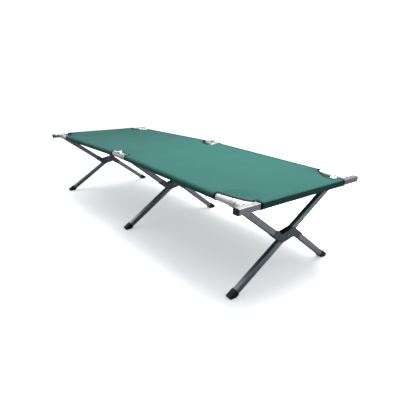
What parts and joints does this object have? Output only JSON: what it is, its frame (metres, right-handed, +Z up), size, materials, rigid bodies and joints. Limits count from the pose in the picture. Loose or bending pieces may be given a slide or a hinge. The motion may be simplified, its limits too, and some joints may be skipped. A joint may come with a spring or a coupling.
{
  "type": "folding cot",
  "caption": "Folding cot: green canvas bed stretched over metal side rails and end bars, on three scissor leg frames, with hinges that fold it in half.",
  "frame": {"origin": "on the floor, at the centre of the bed's length and width", "axes": "+X along the bed towards the head end, +Y across it towards the back rail, +Z up"},
  "size_m": [1.902, 0.742, 0.4396],
  "materials": {
    "canvas": "woven green polyester canvas, matt",
    "rail_aluminium": "bright drawn tube",
    "bar_aluminium": "satin anodised",
    "leg_aluminium": "satin anodised, grey",
    "bracket_metal": "satin anodised, dark grey",
    "strap_metal": "bright pressed or cast, satin",
    "rivet_steel": "plated",
    "dark_plastic": "moulded, satin",
    "black_rubber": "moulded, matt"
  },
  "bodies": {
    "head_back": {"back_rail_head": "rail_aluminium", "back_end_plug_head": "dark_plastic", "back_hinge_leaf_head": "strap_metal", "back_sleeve_head": "canvas", "sheet_head": "canvas", "end_sleeve_head": "canvas", "back_hinge_pin": "rivet_steel"},
    "head_back_legs": {"back_leg_middle": "leg_aluminium", "back_leg_cap_middle": "black_rubber", "back_saddle_middle": "strap_metal", "crossing_channel_middle": "bracket_metal", "back_leg_head": "leg_aluminium", "back_leg_cap_head": "black_rubber", "back_saddle_head": "strap_metal", "crossing_channel_head": "bracket_metal", "back_leg_rivets_head": "rivet_steel"},
    "head_front_legs": {"front_leg_upper_middle": "leg_aluminium", "front_leg_lower_middle": "leg_aluminium", "front_leg_cap_middle": "black_rubber", "front_saddle_middle": "strap_metal", "crossing_plates_middle": "bracket_metal", "pivot_pin_middle": "rivet_steel", "front_leg_upper_head": "leg_aluminium", "front_leg_lower_head": "leg_aluminium", "front_leg_cap_head": "black_rubber", "front_saddle_head": "strap_metal", "crossing_plates_head": "bracket_metal", "pivot_pin_head": "rivet_steel", "front_leg_rivets_head": "rivet_steel"},
    "head_front": {"front_rail_head": "rail_aluminium", "front_end_plug_head": "dark_plastic", "front_hinge_leaf_head": "strap_metal", "front_sleeve_head": "canvas", "front_hinge_pin": "rivet_steel"},
    "head_bar": {"end_bar_head": "bar_aluminium", "end_bar_caps_head": "dark_plastic"},
    "foot_back": {"back_rail_foot": "rail_aluminium", "back_end_plug_foot": "dark_plastic", "back_hinge_leaf_foot": "strap_metal", "back_sleeve_foot": "canvas", "sheet_foot": "canvas", "end_sleeve_foot": "canvas"},
    "foot_back_legs": {"back_leg_foot": "leg_aluminium", "back_leg_cap_foot": "black_rubber", "back_saddle_foot": "strap_metal", "crossing_channel_foot": "bracket_metal", "back_leg_rivets_foot": "rivet_steel"},
    "foot_front_legs": {"front_leg_upper_foot": "leg_aluminium", "front_leg_lower_foot": "leg_aluminium", "front_leg_cap_foot": "black_rubber", "front_saddle_foot": "strap_metal", "crossing_plates_foot": "bracket_metal", "pivot_pin_foot": "rivet_steel", "front_leg_rivets_foot": "rivet_steel"},
    "foot_front": {"front_rail_foot": "rail_aluminium", "front_end_plug_foot": "dark_plastic", "front_hinge_leaf_foot": "strap_metal", "front_sleeve_foot": "canvas"},
    "foot_bar": {"end_bar_foot": "bar_aluminium", "end_bar_caps_foot": "dark_plastic"}
  },
  "joints": [
    {"name": "scissor", "type": "hinge", "parent": "head_back", "child": "head_back_legs", "pos_m": [0.4495, 0.32, 0.40642], "axis": [0.9998, 0, -0.0213], "range_deg": [0, 53], "deforming": ["sheet_head", "end_sleeve_head", "sheet_foot", "end_sleeve_foot"]},
    {"name": "head_cross", "type": "hinge", "parent": "head_back_legs", "child": "head_front_legs", "pos_m": [0.44519, 0, 0.20397], "axis": [0.9998, 0, -0.0213], "range_deg": [-106, 0]},
    {"name": "head_front_swivel", "type": "hinge", "parent": "head_front_legs", "child": "head_front", "pos_m": [0.4495, -0.32, 0.40642], "axis": [0.9998, 0, -0.0213], "range_deg": [0, 53]},
    {"name": "mid_fold", "type": "hinge", "parent": "head_back", "child": "foot_back", "pos_m": [0, 0.32, 0.4346], "axis": [0, 1, 0], "range_deg": [0, 176]},
    {"name": "foot_scissor", "type": "hinge", "parent": "foot_back", "child": "foot_back_legs", "pos_m": [-0.4495, 0.32, 0.40642], "axis": [0.9998, 0, 0.0213], "range_deg": [0, 53]},
    {"name": "foot_cross", "type": "hinge", "parent": "foot_back_legs", "child": "foot_front_legs", "pos_m": [-0.44519, 0, 0.20397], "axis": [0.9998, 0, 0.0213], "range_deg": [-106, 0]},
    {"name": "foot_front_swivel", "type": "hinge", "parent": "foot_front_legs", "child": "foot_front", "pos_m": [-0.4495, -0.32, 0.40642], "axis": [0.9998, 0, 0.0213], "range_deg": [0, 53]},
    {"name": "head_bar_slide", "type": "slide", "parent": "head_back", "child": "head_bar", "axis": [0.9998, 0, -0.0213], "range_m": [0, 0.22]},
    {"name": "foot_bar_slide", "type": "slide", "parent": "foot_back", "child": "foot_bar", "axis": [-0.9998, 0, -0.0213], "range_m": [0, 0.22]}
  ],
  "couplings": [
    {"joint": "head_cross", "follows": "scissor", "ratio": -2},
    {"joint": "head_front_swivel", "follows": "scissor", "ratio": 1},
    {"joint": "foot_scissor", "follows": "scissor", "ratio": 1},
    {"joint": "foot_cross", "follows": "scissor", "ratio": -2},
    {"joint": "foot_front_swivel", "follows": "scissor", "ratio": 1},
    {"joint": "head_bar_slide", "follows": "scissor", "m_per_rad": 0.2378},
    {"joint": "foot_bar_slide", "follows": "scissor", "m_per_rad": 0.2378}
  ]
}
